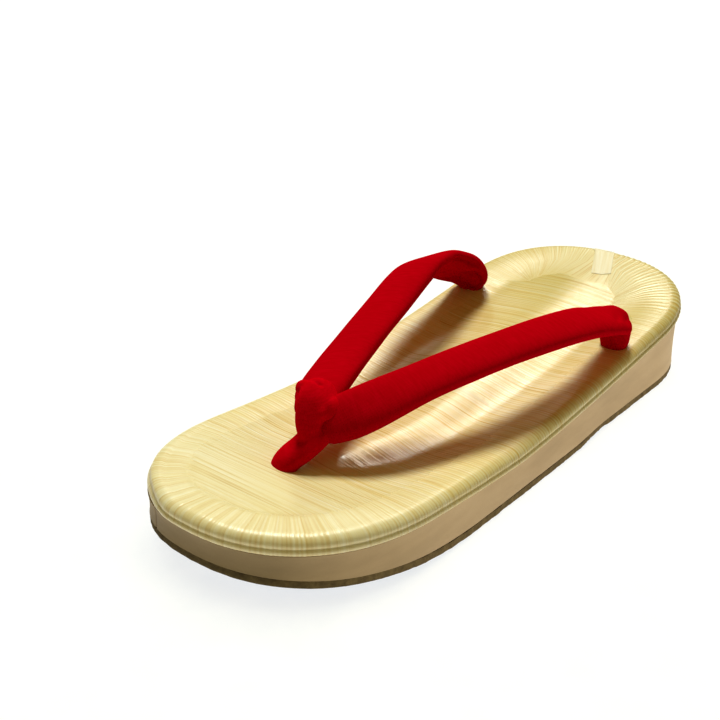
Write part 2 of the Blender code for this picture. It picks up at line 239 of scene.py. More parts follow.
def close_up(obj, within=0.004):
    """Merges a sheet's meeting edges, drops what collapsed and turns its faces outwards."""
    deselect()
    obj.select_set(True)
    bpy.context.view_layer.objects.active = obj
    bpy.ops.object.mode_set(mode="EDIT")
    bpy.ops.mesh.select_all(action="SELECT")
    bpy.ops.mesh.remove_doubles(threshold=within * MM)
    bpy.ops.mesh.dissolve_degenerate(threshold=0.0005 * MM)
    bpy.ops.mesh.select_all(action="SELECT")
    bpy.ops.mesh.normals_make_consistent(inside=False)
    bpy.ops.object.mode_set(mode="OBJECT")
    bpy.ops.object.shade_smooth()
    return obj


# ---------------------------------------------------------------- materials

# The weave's scale, which lays a thread every 0.75 mm, and how deep each cloth's red is.
WEAVE_SCALE = 420.0
# The loop's red is painted lighter than the straps': painted light for the fill that falls on the
# loop's front.
STRAP_RED, LOOP_RED_PAINTED_LIT = 0.53, 0.64


class Finish:
    """A node material, built up one node at a time."""

    def __init__(self, name):
        self.material = bpy.data.materials.new(name)
        self.material.use_nodes = True
        self.nodes = self.material.node_tree.nodes
        self.links = self.material.node_tree.links
        self.shader = self.nodes["Principled BSDF"]
        self.places = self.nodes.new("ShaderNodeTexCoord").outputs["Object"]

    def link(self, source, target):
        if isinstance(source, (int, float, tuple)):
            target.default_value = source
        else:
            self.links.new(source, target)

    def lay(self):
        made = self.nodes.new("ShaderNodeUVMap")
        made.uv_map = "lay"
        return made.outputs["UV"]

    def along(self):
        """How far toward the heel a place lies, in metres."""
        made = self.nodes.new("ShaderNodeSeparateXYZ")
        self.links.new(self.places, made.inputs[0])
        return made.outputs["Y"]

    def mark(self, name):
        made = self.nodes.new("ShaderNodeAttribute")
        made.attribute_name = name
        return made.outputs["Fac"]

    def stretch(self, source, scale, turn=(0, 0, 0)):
        made = self.nodes.new("ShaderNodeMapping")
        made.inputs["Scale"].default_value = scale
        made.inputs["Rotation"].default_value = [math.radians(angle) for angle in turn]
        self.links.new(source, made.inputs["Vector"])
        return made.outputs["Vector"]

    def noise(self, source, scale=1.0, detail=3.0, rough=0.5, distort=0.0):
        made = self.nodes.new("ShaderNodeTexNoise")
        made.inputs["Scale"].default_value = scale
        made.inputs["Detail"].default_value = detail
        made.inputs["Roughness"].default_value = rough
        made.inputs["Distortion"].default_value = distort
        self.links.new(source, made.inputs["Vector"])
        return made.outputs["Fac"]

    def wave(self, source, scale, direction="X", distort=0.0):
        made = self.nodes.new("ShaderNodeTexWave")
        made.bands_direction = direction
        made.inputs["Scale"].default_value = scale
        made.inputs["Distortion"].default_value = distort
        self.links.new(source, made.inputs["Vector"])
        return made.outputs["Fac"]

    def spread(self, source, low, high, to_low=0.0, to_high=1.0):
        made = self.nodes.new("ShaderNodeMapRange")
        for slot, value in zip(made.inputs[1:5], (low, high, to_low, to_high)):
            slot.default_value = value
        self.links.new(source, made.inputs[0])
        return made.outputs[0]

    def math(self, kind, first, second=0.0):
        made = self.nodes.new("ShaderNodeMath")
        made.operation = kind
        self.link(first, made.inputs[0])
        self.link(second, made.inputs[1])
        return made.outputs[0]

    def blend(self, part, first, second):
        """Numbers blended by part."""
        made = self.nodes.new("ShaderNodeMix")
        self.link(part, made.inputs[0])
        self.link(first, made.inputs[2])
        self.link(second, made.inputs[3])
        return made.outputs[0]

    def tint(self, part, first, second, kind="MIX"):
        """Colours blended by part."""
        made = self.nodes.new("ShaderNodeMix")
        made.data_type = "RGBA"
        made.blend_type = kind
        self.link(part, made.inputs[0])
        self.link(first, made.inputs[6])
        self.link(second, made.inputs[7])
        return made.outputs[2]

    def ramp(self, part, *stops):
        made = self.nodes.new("ShaderNodeValToRGB")
        while len(made.color_ramp.elements) < len(stops):
            made.color_ramp.elements.new(0.5)
        for element, (place, colour) in zip(made.color_ramp.elements, stops):
            element.position = place
            element.color = (*colour, 1.0)
        self.links.new(part, made.inputs[0])
        return made.outputs[0]

    def bump(self, height, distance, strength=1.0, after=None):
        made = self.nodes.new("ShaderNodeBump")
        made.inputs["Distance"].default_value = distance * MM
        made.inputs["Strength"].default_value = strength
        self.links.new(height, made.inputs["Height"])
        if after:
            self.links.new(after, made.inputs["Normal"])
        return made.outputs["Normal"]

    def set(self, **values):
        for name, value in values.items():
            self.link(value, self.shader.inputs[name.replace("_", " ")])
        return self.material


def cover_vinyl():
    """Glossy vinyl embossed as split rush: lines across the bed, fanned round the rim."""
    made = Finish("rush_patterned_vinyl")
    lay = made.lay()
    round_rim = made.mark("round_rim")
    ridge = made.mark("ridge")
    across = made.noise(made.stretch(made.places, (11, 1050, 11), (0, 0, 3)), 1.0, 4.0, 0.6, 0.15)
    fanned = made.noise(made.stretch(lay, (760, 12, 1)), 1.0, 4.0, 0.6, 0.15)
    lines = made.blend(round_rim, across, fanned)
    fine_across = made.noise(made.stretch(made.places, (30, 2500, 30), (0, 0, 3)), 1.0, 2.0, 0.5)
    fine_fanned = made.noise(made.stretch(lay, (2100, 30, 1)), 1.0, 2.0, 0.5)
    fine = made.blend(round_rim, fine_across, fine_fanned)
    stripes = made.math("ADD", made.math("MULTIPLY", lines, 0.7), made.math("MULTIPLY", fine, 0.3))
    colour = made.ramp(
        stripes,
        (0.36, (0.66, 0.47, 0.16)),
        (0.45, (0.84, 0.73, 0.39)),
        (0.53, (0.88, 0.80, 0.53)),
        (0.63, (0.93, 0.89, 0.72)),
    )
    clouds = made.noise(made.places, 24.0, 2.0, 0.5)
    colour = made.tint(made.spread(clouds, 0.4, 0.7, 0.0, 0.35), colour, (0.88, 0.70, 0.26, 1.0))
    # Painted shade: the cover's colour darkens toward the heel, in place of the light falling off
    # there.
    heel_painted_shade = made.spread(made.along(), 0.02, 0.09)
    colour = made.tint(heel_painted_shade, colour, (0.80, 0.765, 0.60, 1.0), "MULTIPLY")
    for part, shade in (
        # Painted sheen: the cover is tinted paler toward the toe.
        (made.spread(made.along(), -0.05, -0.10, 0.0, 0.25), (0.95, 0.93, 0.80, 1.0)),
        # Painted shade in the embossed grooves and painted highlight on the ridge tops.
        (made.spread(ridge, -1.0, 0.2, 0.5, 0.0), (0.68, 0.46, 0.12, 1.0)),
        (made.spread(ridge, 0.2, 1.0, 0.0, 0.35), (0.96, 0.92, 0.70, 1.0)),
        # Painted shade on the bead.
        (made.spread(made.mark("bead"), 0.0, 1.0, 0.0, 0.3), (0.66, 0.55, 0.30, 1.0)),
        # Painted shade in the groove above the bead.
        (made.spread(made.mark("groove"), 0.0, 1.0, 0.0, 0.55), (0.42, 0.32, 0.11, 1.0)),
    ):
        colour = made.tint(part, colour, shade)
    rim_rough = made.math("MULTIPLY", round_rim, 0.16)
    rough = made.math("ADD", made.spread(stripes, 0.35, 0.65, 0.25, 0.16), rim_rough)
    normal = made.bump(stripes, 0.16, 0.9)
    made.set(Base_Color=colour, Roughness=rough, Normal=normal)
    made.set(Specular_IOR_Level=0.5)
    return made.material


def strip_vinyl():
    """The plain straw-coloured strip over the join at the heel, with faint lines along it."""
    made = Finish("plain_straw_vinyl")
    lines = made.noise(made.stretch(made.lay(), (900, 30, 1)), 1.0, 3.0, 0.55)
    colour = made.ramp(
        lines,
        (0.32, (0.76, 0.66, 0.42)),
        (0.5, (0.82, 0.745, 0.55)),
        (0.68, (0.87, 0.81, 0.65)),
    )
    normal = made.bump(lines, 0.06, 0.8)
    return made.set(Base_Color=colour, Roughness=0.36, Normal=normal, Specular_IOR_Level=0.2)


def wrap_vinyl():
    """Satin taupe vinyl, softly clouded, darker down its butt joint."""
    made = Finish("taupe_wrap_vinyl")
    grain = made.noise(made.places, 1500.0, 3.0, 0.6)
    scuffs = made.noise(made.stretch(made.places, (35, 35, 160)), 1.0, 4.0, 0.55)
    colour = made.ramp(
        scuffs,
        (0.3, (0.325, 0.240, 0.128)),
        (0.5, (0.365, 0.27, 0.147)),
        (0.72, (0.40, 0.30, 0.17)),
    )
    colour = made.tint(made.spread(grain, 0.3, 0.7, 0.0, 0.2), colour, (0.31, 0.215, 0.115, 1.0))
    joint = made.spread(made.mark("seam"), 0.2, 1.0, 0.0, 0.6)
    colour = made.tint(joint, colour, (0.16, 0.10, 0.05, 1.0))
    normal = made.bump(grain, 0.05, 0.5)
    return made.set(Base_Color=colour, Roughness=0.55, Normal=normal, Specular_IOR_Level=0.35)


def outsole_rubber():
    """Dull brown rubber with a crumbly grain."""
    made = Finish("brown_crepe_rubber")
    grain = made.noise(made.places, 420.0, 5.0, 0.7)
    colour = made.ramp(
        grain,
        (0.3, (0.085, 0.058, 0.022)),
        (0.55, (0.14, 0.10, 0.04)),
        (0.8, (0.20, 0.15, 0.065)),
    )
    normal = made.bump(grain, 0.35, 0.8)
    return made.set(Base_Color=colour, Roughness=0.85, Normal=normal, Specular_IOR_Level=0.25)


def core_sponge():
    """The foam of the hidden wedge."""
    made = Finish("pale_core_sponge")
    cells = made.noise(made.places, 900.0, 2.0, 0.5)
    colour = made.ramp(cells, (0.35, (0.36, 0.27, 0.17)), (0.65, (0.50, 0.39, 0.26)))
    return made.set(Base_Color=colour, Roughness=0.9, Normal=made.bump(cells, 0.2, 0.6))


def red_cloth(name, laid, deep):
    """Matte plain-woven red cotton, laid along the straps or standing in line with the loop."""
    made = Finish(name)
    if laid:
        cloth, weft_way, slubs = made.lay(), "Y", (260, 900, 1)
    else:
        cloth, weft_way, slubs = made.places, "Z", (300, 300, 900)
    warp = made.wave(cloth, WEAVE_SCALE, "X", 0.4)
    weft = made.wave(cloth, WEAVE_SCALE, weft_way, 0.4)
    slub = made.noise(made.stretch(cloth, slubs), 1.0, 4.0, 0.6)
    weave = made.math("MULTIPLY", warp, weft)
    patches = made.noise(made.places, 60.0, 3.0, 0.5)
    colour = made.ramp(
        slub,
        (0.25, (0.89 * deep, 0.0, 0.010 * deep)),
        (0.5, (deep, 0.0, 0.017 * deep)),
        (0.75, (1.11 * deep, 0.0, 0.026 * deep)),
    )
    patch_red = (0.92 * deep, 0.0, 0.012 * deep, 1.0)
    colour = made.tint(made.spread(patches, 0.35, 0.7, 0.0, 0.3), colour, patch_red)
    normal = made.bump(weave, 0.05, 0.6)
    normal = made.bump(slub, 0.08, 0.5, normal)
    made.set(Base_Color=colour, Roughness=0.92, Normal=normal)
    made.set(Specular_IOR_Level=0.0)
    return made.material


# ---------------------------------------------------------------- the cover


def relief(x, y, inset):
    """How far the foot bed stands above a plain crown: the dish inside the rim, and the mound."""
    depth = np.interp(y, [row[0] for row in DISH], [row[1] for row in DISH])
    sunk = depth * smooth(inset, DISH_START, DISH_END)
    half, flank, tall = (
        np.interp(y, [row[0] for row in MOUND], [row[column] for row in MOUND])
        for column in (1, 2, 3)
    )
    part = np.clip((half - np.abs(x - MOUND_CREST_X)) / flank, 0.0, 1.0)
    mound = tall * part * part * (3 - 2 * part)
    # The crease round the toe, where the gathers end.
    round_toe = smooth(-y, 97, 106)
    from_crease = (inset - TOE_CREASE_IN - 0.05 * (x + 5)) / TOE_CREASE_WIDTH
    crease = TOE_CREASE_DEPTH * np.exp(-(from_crease**2)) * round_toe
    step = TOE_STEP_DEPTH * smooth(inset, TOE_STEP_START, TOE_STEP_END) * round_toe
    # Soft unevenness where the gathers are drawn in.
    uneven = wiggle(0.8 * x + 0.6 * y, 6.0, 71) + wiggle(0.7 * x - 0.7 * y, 8.0, 72)
    near_gathers = np.exp(-(((inset - UNEVEN_IN) / UNEVEN_WIDTH) ** 2))
    mound = mound + UNEVEN_HEIGHT * uneven * near_gathers * smooth(-y, 80, 100)
    return mound - sunk - crease - step


def spine_places(points):
    """Where each spoke ends: on the middle line, or at the heel's corners, where the rush fans."""
    y = points[:, 1]
    spine = np.zeros_like(points)
    spine[:, 1] = np.clip(y, TOE_FAN_START_Y, HEEL_FAN_START_Y)
    toe = y < TOE_FAN_START_Y
    part = (TOE_FAN_START_Y - y[toe]) / (TOE_FAN_START_Y + LENGTH / 2)
    spine[toe, 1] = TOE_FAN_START_Y + part * (TOE_FAN_Y - TOE_FAN_START_Y)
    for side in (1, -1):
        found = np.nonzero((y > HEEL_FAN_START_Y) & (points[:, 0] * side > -1e-6))[0]
        found = found[::-1] if side < 0 else found
        count = len(found)
        reach = int(np.count_nonzero(y[found[: count // 2]] < HEEL_FAN_TURN_Y))
        step = np.minimum(np.arange(count), count - 1 - np.arange(count)) / reach
        middle = np.array([0.0, HEEL_FAN_START_Y])
        fan = np.array([HEEL_FAN[0] * side, HEEL_FAN[1]])
        spine[found] = middle + (fan - middle) * np.clip(step, 0, 1)[:, None]
    return spine


def true_insets(flat, points, normals):
    """How far in from the outline each place lies."""
    tree = KDTree(len(points))
    for index, (x, y) in enumerate(points):
        tree.insert((x, y, 0), index)
    tree.balance()
    inset = np.zeros(len(flat))
    for index, (x, y) in enumerate(flat):
        near = tree.find((x, y, 0))[1]
        apart = points[near] - (x, y)
        inset[index] = apart[0] * normals[near, 0] + apart[1] * normals[near, 1]
    return inset


def crown_rise(x, y, inset):
    """How far the cover stands above its crease."""
    crown = np.interp(inset, [row[0] for row in CROWN], [row[1] for row in CROWN])
    return crown + relief(x, y, inset)


def embossing(from_toe, depth, points):
    """The embossed lines: their shape, from -1 in a groove to 1 on a ridge, and their height."""
    y = points[:, 1]
    toe = smooth(-y, 90, 112)
    heel = smooth(y, 80, 100)
    heel_right = heel * smooth(points[:, 0], -4, 4)
    waver = from_toe + heel * 0.5 * wiggle(depth, 5.0, 3) + 0.3 * wiggle(from_toe, 6.0, 5)
    even = np.sin(2 * math.pi * waver / EVEN_PITCH) * 0.7 + 0.6 * wiggle(waver, 0.9, 7)
    drawn = waver + 0.8 * wiggle(waver, 3.1, 9)
    gathers = 0.5 * np.sin(2 * math.pi * drawn / GATHER_PITCH) + 0.8 * wiggle(waver, 0.8, 13)
    drawn = waver + 0.5 * wiggle(waver, 3.7, 15)
    ribs = np.sin(2 * math.pi * drawn / RIB_PITCH) + 0.35 * wiggle(waver, 1.1, 17)
    ring = 1 - smooth(depth, 11.0, 15.0)
    fan = 1 - smooth(depth, 17.0, 27.0)
    shape = even * (1 - toe * ring) * (1 - heel_right) + gathers * toe * ring + ribs * heel_right
    height = 0.030 + 0.020 * ring * (1 - 0.7 * toe)
    height = height * (1 - toe * (1 - ring)) * (1 - heel * (1 - fan))
    height = height + 0.010 * toe * ring + 0.040 * heel_right * fan
    return shape, height


def strip_mask(flat):
    """1 under the heel strip, 0 clear of it."""
    foot, head = np.array(STRIP_FOOT), np.array(STRIP_HEAD)
    length = np.linalg.norm(head - foot)
    run = (head - foot) / length
    along, out = (flat - foot) @ run, np.abs((flat - foot) @ np.array([-run[1], run[0]]))
    beside = smooth(out, STRIP_WIDTH / 2, STRIP_WIDTH / 2 + 0.8)
    beyond = smooth(along, length, length + 1.5)
    return (1 - beside) * (1 - beyond)


def build_cover(finish):
    """The padded cover: bead, groove and rolled rim, then the embossed foot bed, and flat below."""
    points, normals, from_toe = outline(SPOKES)
    count = len(from_toe)
    edge_in, edge_up = COVER_EDGE[-1][1:]
    rows = [("under", None, 0.0)] + list(COVER_EDGE)
    for step in range(1, RIM_STEPS + 1):
        angle = step / RIM_STEPS * RIM_ARC
        inset = edge_in + RIM_IN * (1 - math.cos(angle))
        rows.append(("rim", inset, edge_up + RIM_UP * math.sin(angle)))
    band_in = rows[-1][1]
    for step in range(1, RIM_BAND_STEPS + 1):
        rows.append(("band", band_in + (RIM_BAND - band_in) * step / RIM_BAND_STEPS, None))
    rows += [("inner", step / INNER_STEPS, None) for step in range(1, INNER_STEPS + 1)]

    edge = points - normals * RIM_BAND
    spine = spine_places(points)
    turned = smooth(normals @ np.array(TOE_TURN_WAY), 0.72, 1.0)
    to_spine = np.linalg.norm(spine - edge, axis=1)
    placed = np.zeros((len(rows), count, 3))
    lay = np.zeros((len(rows), count, 2))
    kinds = ("round_rim", "ridge", "bead", "groove")
    marks = {kind: np.zeros((len(rows), count)) for kind in kinds}
    heel = smooth(points[:, 1], 80, 98)
    for index, (name, inset, up) in enumerate(rows):
        outward, upward = 0.0, 1.0
        if name == "under":
            flat, depth = spine, to_spine + RIM_BAND
        elif name == "inner":
            bend = np.sin(math.pi * inset) * np.minimum(to_spine, 20) * 0.18
            flat = edge + (spine - edge) * inset - normals * (bend * heel)[:, None]
            depth = RIM_BAND + to_spine * inset
        else:
            if name == "rim":
                rise = (up - edge_up) / RIM_UP
                turn = turned * TOE_TURN_IN * (1.0 - 0.5 * rise)
                up = up + turned * 2.2 * (1 - 0.75 * rise)
                outward, upward = math.sqrt(max(1 - min(rise, 1) ** 2, 0)), min(rise, 1)
            elif name == "band":
                turn = turned * TOE_TURN_IN * 0.5 * (1 - smooth(inset, 4.0, 9.0))
            else:
                turn = turned * (1.2 + 1.0 * max(up - 1.9, 0))
                up = up * (1 + 0.8 * turned)
            flat = points - normals * (inset + turn)[:, None]
            depth = np.full(count, float(inset))
        x, y = flat.T
        if name in ("band", "inner"):
            rise = crown_rise(x, y, true_insets(flat, points, normals))
        else:
            rise = np.zeros(count) + up
            if name == "rim":
                rise = rise + relief(x, y, depth) * smooth(up, 3.5, 5.9)
        height = crease_height(y) + rise
        shape, tall = embossing(from_toe, depth, points)
        if name in ("rim", "band", "inner"):
            spread = np.linalg.norm(np.roll(flat, -1, 0) - flat, axis=1)
            tall = tall * np.clip(spread / 0.24, 0, 1) ** 1.5
            if name == "inner":
                tall = tall * (1 - inset**6)
            tall = tall * (1 - strip_mask(flat))
        elif name == "under":
            tall = tall * 0
        else:
            outward, upward, tall = 1.0, 0.0, tall * 0.8
        flat = flat + normals * (shape * tall * outward)[:, None]
        height = height + shape * tall * upward
        marks["ridge"][index] = shape * np.clip(tall / 0.06, 0, 1)
        if name.startswith(("bead", "under")):
            marks["bead"][index] = 1.0
        if name.startswith("groove"):
            marks["groove"][index] = 1.0 if name == "groove" else 0.5
        reach = 13.0 + heel * 13.0 + 0.8 * wiggle(from_toe, 7.0, 21)
        marks["round_rim"][index] = 1 - smooth(depth, reach - 1.5, reach + 2.5)
        lay[index] = np.stack([from_toe, depth], 1)
        placed[index] = np.stack([flat[:, 0], flat[:, 1], height], 1)
    obj = close_up(sheet_of("cover", placed, lay, marks))
    obj.data.materials.append(finish)
    return obj


def build_heel_strip(finish):
    """A plain strip of vinyl over the cover's join, from the heel's bead up onto the foot bed."""
    points, normals, _ = outline(1600)
    foot, head = np.array(STRIP_FOOT), np.array(STRIP_HEAD)
    near = int(np.argmin(np.linalg.norm(points - foot, axis=1)))
    run = head - points[near]
    length = np.linalg.norm(run)
    run /= length
    side = np.array([-run[1], run[0]])
    edge_in, edge_up = COVER_EDGE[-1][1:]
    rim = (RIM_IN + edge_in) * 0.9
    bed_steps = STRIP_STEPS - STRIP_RIM_STEPS
    rows, lay = [], []
    for step in range(STRIP_STEPS + 1):
        row, lain = [], []
        sunk = STRIP_SUNK * float(smooth(step, STRIP_STEPS - STRIP_SINK_STEPS, STRIP_STEPS))
        for place in range(STRIP_ACROSS + 1):
            out = (place / STRIP_ACROSS * 2 - 1) * STRIP_WIDTH / 2
            if step < STRIP_RIM_STEPS:
                angle = step / STRIP_RIM_STEPS * RIM_ARC
                along = edge_in + RIM_IN * (1 - math.cos(angle))
                here = int(np.argmin(np.linalg.norm(points - (points[near] + side * out), axis=1)))
                flat = points[here] - normals[here] * along
                rise = edge_up + RIM_UP * math.sin(angle)
            else:
                bed_step = step - STRIP_RIM_STEPS
                point = STRIP_POINT * (1 - abs(out) / STRIP_WIDTH * 2) * bed_step / bed_steps
                along = rim + (length - rim + point) * bed_step / bed_steps
                flat = points[near] + run * along + side * out
                rise = crown_rise(flat[:1], flat[1:], true_insets(flat[None], points, normals))[0]
            height = float(crease_height(flat[1]) + rise)
            row.append((flat[0], flat[1], height + STRIP_RAISED - sunk))
            lain.append((out, along))
        rows.append(row)
        lay.append(lain)
    obj = sheet_of("heel_strip", np.array(rows), np.array(lay))
    deselect()
    obj.select_set(True)
    bpy.context.view_layer.objects.active = obj
    step = obj.modifiers.new("Thickness", "SOLIDIFY")
    step.thickness, step.offset = STRIP_THICKNESS * MM, -1.0
    bpy.ops.object.modifier_apply(modifier=step.name)
    step = obj.modifiers.new("Soft edges", "BEVEL")
    step.width, step.segments, step.limit_method = 0.1 * MM, 2, "ANGLE"
    bpy.ops.object.modifier_apply(modifier=step.name)
    bpy.ops.object.shade_smooth_by_angle(angle=math.radians(40))
    obj.data.materials.append(finish)
    return obj


# ---------------------------------------------------------------- the wedge and the outsole


def heel_tuck(normals):
    """1 round the back of the heel, where the side tucks in."""
    return smooth(normals[:, 1], 0.35, 0.8)


def waist_flare(y):
    """1 where the wedge's side spreads at the waist, ahead of the heel lift."""
    return smooth(y, -100, -60) * (1 - smooth(y, 15, 42))


def middle_line(points):
    """The place on the middle line beside each point of the outline."""
    return np.column_stack([np.zeros(len(points)), np.clip(points[:, 1], -SPINE_END, SPINE_END)])


def closed_ring(name, points, normals, rows, finish, marks=None):
    """A ring round the sole, through rows of distance in and height, closed on itself."""
    placed = []
    for inset, height in (*rows, rows[0]):
        flat = points - normals * (np.zeros(len(points)) + inset)[:, None]
        placed.append(np.column_stack([flat, np.zeros(len(points)) + height(flat[:, 1])]))
    placed = np.array(placed)
    lay = np.zeros((*placed.shape[:2], 2))
    if marks:
        marks = {key: np.repeat(value[None], len(placed), 0) for key, value in marks.items()}
    obj = close_up(sheet_of(name, placed, lay, marks))
    bpy.ops.object.shade_smooth_by_angle(angle=math.radians(50))
    obj.data.materials.append(finish)
    return obj


def build_side_wrap(finish):
    """The vinyl round the wedge: a little waisted, tucked in at the heel, with its butt joint."""
    points, normals, from_toe = outline(1500)
    tuck = heel_tuck(normals)
    seam = points[:, 0] - WRAP_JOINT_X
    at_seam = np.exp(-((seam / 0.5) ** 2)) * (points[:, 1] < 0)
    ripple = 0.06 * wiggle(from_toe, 14.0, 61) + 0.03 * wiggle(from_toe, 5.0, 62)
    rows = [(3.6, lambda y: crease_height(y) - 0.35), (1.0, lambda y: crease_height(y) - 0.32)]
    for step in range(WRAP_STEPS + 1):
        part = 1 - step / WRAP_STEPS
        waist = WRAP_WAIST * math.sin(math.pi * part) ** 0.7
        tucked = tuck * HEEL_TUCK * (1 - part**3) * (0.62 + 0.38 * math.sin(math.pi * part))
        flare = WRAP_FLARE * waist_flare(points[:, 1]) * (1 - part) ** 0.8
        inset = 0.7 + waist + tucked + 0.25 * at_seam - ripple * math.sin(math.pi * part) - flare

        def height(y, part=part):
            low, high = sole_line(y) + 0.18, crease_height(y) - 0.4
            return low + (high - low) * part

        rows.append((inset, height))
    rows.append((5.0, lambda y: sole_line(y) + 0.15))
    return closed_ring("side_wrap_skin", points, normals, rows, finish, {"seam": at_seam})


def build_core(finish):
    """The sponge wedge inside the wrap."""
    points, normals, _ = outline(300)
    spine = middle_line(points)
    rows = []
    for part, inset in ((1, None), (1, CORE_INSET), (0, CORE_INSET), (0, None)):
        flat = spine if inset is None else points - normals * inset
        low, high = sole_line(flat[:, 1]) + 0.2, crease_height(flat[:, 1]) - 0.5
        rows.append(np.column_stack([flat, low + (high - low) * part]))
    obj = close_up(sheet_of("sponge_core", np.array(rows)))
    bpy.ops.object.shade_smooth_by_angle(angle=math.radians(30))
    obj.data.materials.append(finish)
    return obj


def build_outsole(finish):
    """The rubber outsole, with a rough-cut edge and shallow waved ribs underneath."""
    points, normals, from_toe = outline(1000)
    rough = 0.10 * wiggle(from_toe, 1.4, 31) + 0.10 * wiggle(from_toe, 4.0, 33)
    flare = OUTSOLE_FLARE * waist_flare(points[:, 1])
    base = OUTSOLE_INSET + OUTSOLE_TUCK * heel_tuck(normals) - flare
    spine = middle_line(points)
    rows = [np.column_stack([spine, sole_line(spine[:, 1])])]
    for part, seed in ((1.0, 41), (0.72, 42), (0.45, 43), (0.2, 44)):
        shift = rough + 0.05 * wiggle(from_toe, 0.9, seed) + 0.10 * math.sin(math.pi * part)
        flat = points - normals * (base - shift)[:, None]
        low, high = ground_line(flat[:, 1]), sole_line(flat[:, 1])
        rows.append(np.column_stack([flat, low + (high - low) * part]))
    for more, up in ((0.1, 0.25), (0.5, 0.0), (2.0, 0.0), (TREAD_BORDER, 0.0)):
        flat = points - normals * (base + more - (rough if more < 0.3 else 0))[:, None]
        rows.append(np.column_stack([flat, ground_line(flat[:, 1]) + up]))
    edge = points - normals * (base + TREAD_BORDER)[:, None]
    for step in range(1, TREAD_STEPS + 1):
        flat = edge + (spine - edge) * (step / TREAD_STEPS)
        wave = 1.3 * np.sin(flat[:, 0] / 5.5)
        rib = smooth(np.sin(2 * math.pi * (flat[:, 1] + wave) / TREAD_PITCH), -0.55, 0.1)
        groove = TREAD_DEPTH * (1 - rib) * smooth(step, 0, 1.5)
        groove = np.where(np.abs(flat[:, 1] - TREAD_GAP_Y) < TREAD_GAP, 0, groove)
        rows.append(np.column_stack([flat, ground_line(flat[:, 1]) + groove]))
    obj = close_up(sheet_of("outsole_sheet", np.array(rows)))
    bpy.ops.object.shade_smooth_by_angle(angle=math.radians(38))
    obj.data.materials.append(finish)
    return obj


# ---------------------------------------------------------------- the straps

# Rows along each arm, from the apex under the toe loop back to its rear hole. The two arms hang a
# little differently, as cloth does. Millimetres and degrees; a tilt lowers the arm's outer edge.
RIGHT_ARM = (
    # x, y, z, width, thickness, tilt
    (2.4, -75.4, 33.6, 7.0, 4.5, 46.0),
    (4.2, -72.4, 34.2, 12.4, 7.2, 48.0),
    (6.2, -67.2, 35.4, 15.4, 8.6, 46.0),
    (9.3, -60.0, 36.8, 16.6, 8.6, 35.0),
    (15.2, -40.0, 39.8, 17.2, 7.6, 14.0),
    (21.2, -20.0, 41.9, 17.6, 7.2, 11.0),
    (27.4, 0.0, 43.4, 17.6, 7.0, 10.0),
    (33.3, 20.0, 43.8, 18.0, 7.0, 10.0),
    (36.7, 35.0, 42.6, 18.0, 7.2, 11.0),
    (37.3, 44.0, 40.0, 17.8, 7.2, 12.0),
    (37.3, 51.0, 37.8, 17.0, 7.8, 15.0),
    (37.1, 56.0, 36.1, 15.4, 9.0, 18.0),
    (36.9, 59.6, 34.7, 13.2, 11.2, 24.0),
    (36.8, 60.1, 31.0, 12.8, 10.6, 26.0),
    (36.5, 60.1, 27.4, 13.0, 9.6, 26.0),
    (36.3, 60.2, 23.4, 10.4, 8.0, 26.0),
    (36.4, 60.2, 18.0, 7.6, 7.0, 20.0),
)
LEFT_ARM = (
    (1.0, -74.5, 36.4, 8.0, 5.0, 14.0),
    (2.2, -72.0, 37.4, 11.6, 6.6, 12.0),
    (4.4, -67.0, 38.4, 14.6, 7.4, 10.0),
    (7.8, -60.0, 38.9, 17.2, 7.6, 10.0),
    (15.3, -40.0, 40.1, 17.8, 7.2, 10.0),
    (21.4, -20.0, 42.2, 17.8, 7.0, 10.0),
    (27.6, 0.0, 43.8, 18.2, 7.0, 10.0),
    (32.9, 20.0, 46.8, 19.4, 7.0, 14.0),
    (35.4, 32.0, 47.7, 20.0, 7.2, 22.0),
    (36.6, 45.0, 44.9, 18.6, 7.8, 36.0),
    (37.0, 55.8, 40.6, 17.4, 8.8, 42.0),
    (37.2, 64.2, 36.6, 16.8, 9.6, 38.0),
    (37.4, 69.8, 31.8, 15.6, 10.4, 22.0),
    (38.3, 71.8, 28.0, 11.8, 9.6, 10.0),
    (38.4, 71.6, 23.8, 9.4, 8.6, 0.0),
    (37.4, 71.0, 18.5, 8.0, 7.4, 0.0),
)
ARM_SIDES, ARM_PITCH, ARM_GIRTH = 72, 0.9, 42.0
SEAM_ROUND, SEAM_WIDTH, SEAM_DEPTH = 262, 3.0, 0.35


def smooth_rows(rows, steps):
    """Rows read from a smooth curve through the given ones."""
    made = []
    last = len(rows) - 1
    for index in range(last):
        before, start = rows[max(index - 1, 0)], rows[index]
        end, after = rows[index + 1], rows[min(index + 2, last)]
        for step in range(steps):
            t = step / steps
            row = []
            for a, b, c, d in zip(before, start, end, after):
                bend = 2 * a - 5 * b + 4 * c - d + t * (3 * (b - c) + d - a)
                row.append(b + 0.5 * t * (c - a + t * bend))
            made.append(row)
    return made + [list(rows[-1])]


def even_rows(rows, pitch):
    """The smooth rows again, evenly spaced along the path, with the distance along it."""
    fine = np.array(smooth_rows(rows, 12))
    run = np.concatenate([[0], np.cumsum(np.linalg.norm(np.diff(fine[:, :3], axis=0), axis=1))])
    at = np.linspace(0, run[-1], max(int(run[-1] / pitch), 4) + 1)
    columns = [np.interp(at, run, values) for values in fine.T]
    return np.stack(columns, 1), at


def soft_fold(along, round_it, fold):
    """A trough, or a ridge where its depth is negative, along a line on the unrolled strap."""
    from_along, from_round, to_along, to_round, width, depth = fold
    size = np.array([1.0, 0.12])
    first = np.array([from_along, from_round]) * size
    second = np.array([to_along, to_round]) * size
    place = np.stack([along * size[0], round_it * size[1]], -1)
    line = second - first
    part = np.clip(((place - first) @ line) / (line @ line), 0, 1)
    away = np.linalg.norm(place - first - part[..., None] * line, axis=-1)
    fade = np.sin(math.pi * np.clip(part * 0.8 + 0.1, 0, 1)) ** 0.5
    return -depth * fade * np.exp(-((away / width) ** 2))


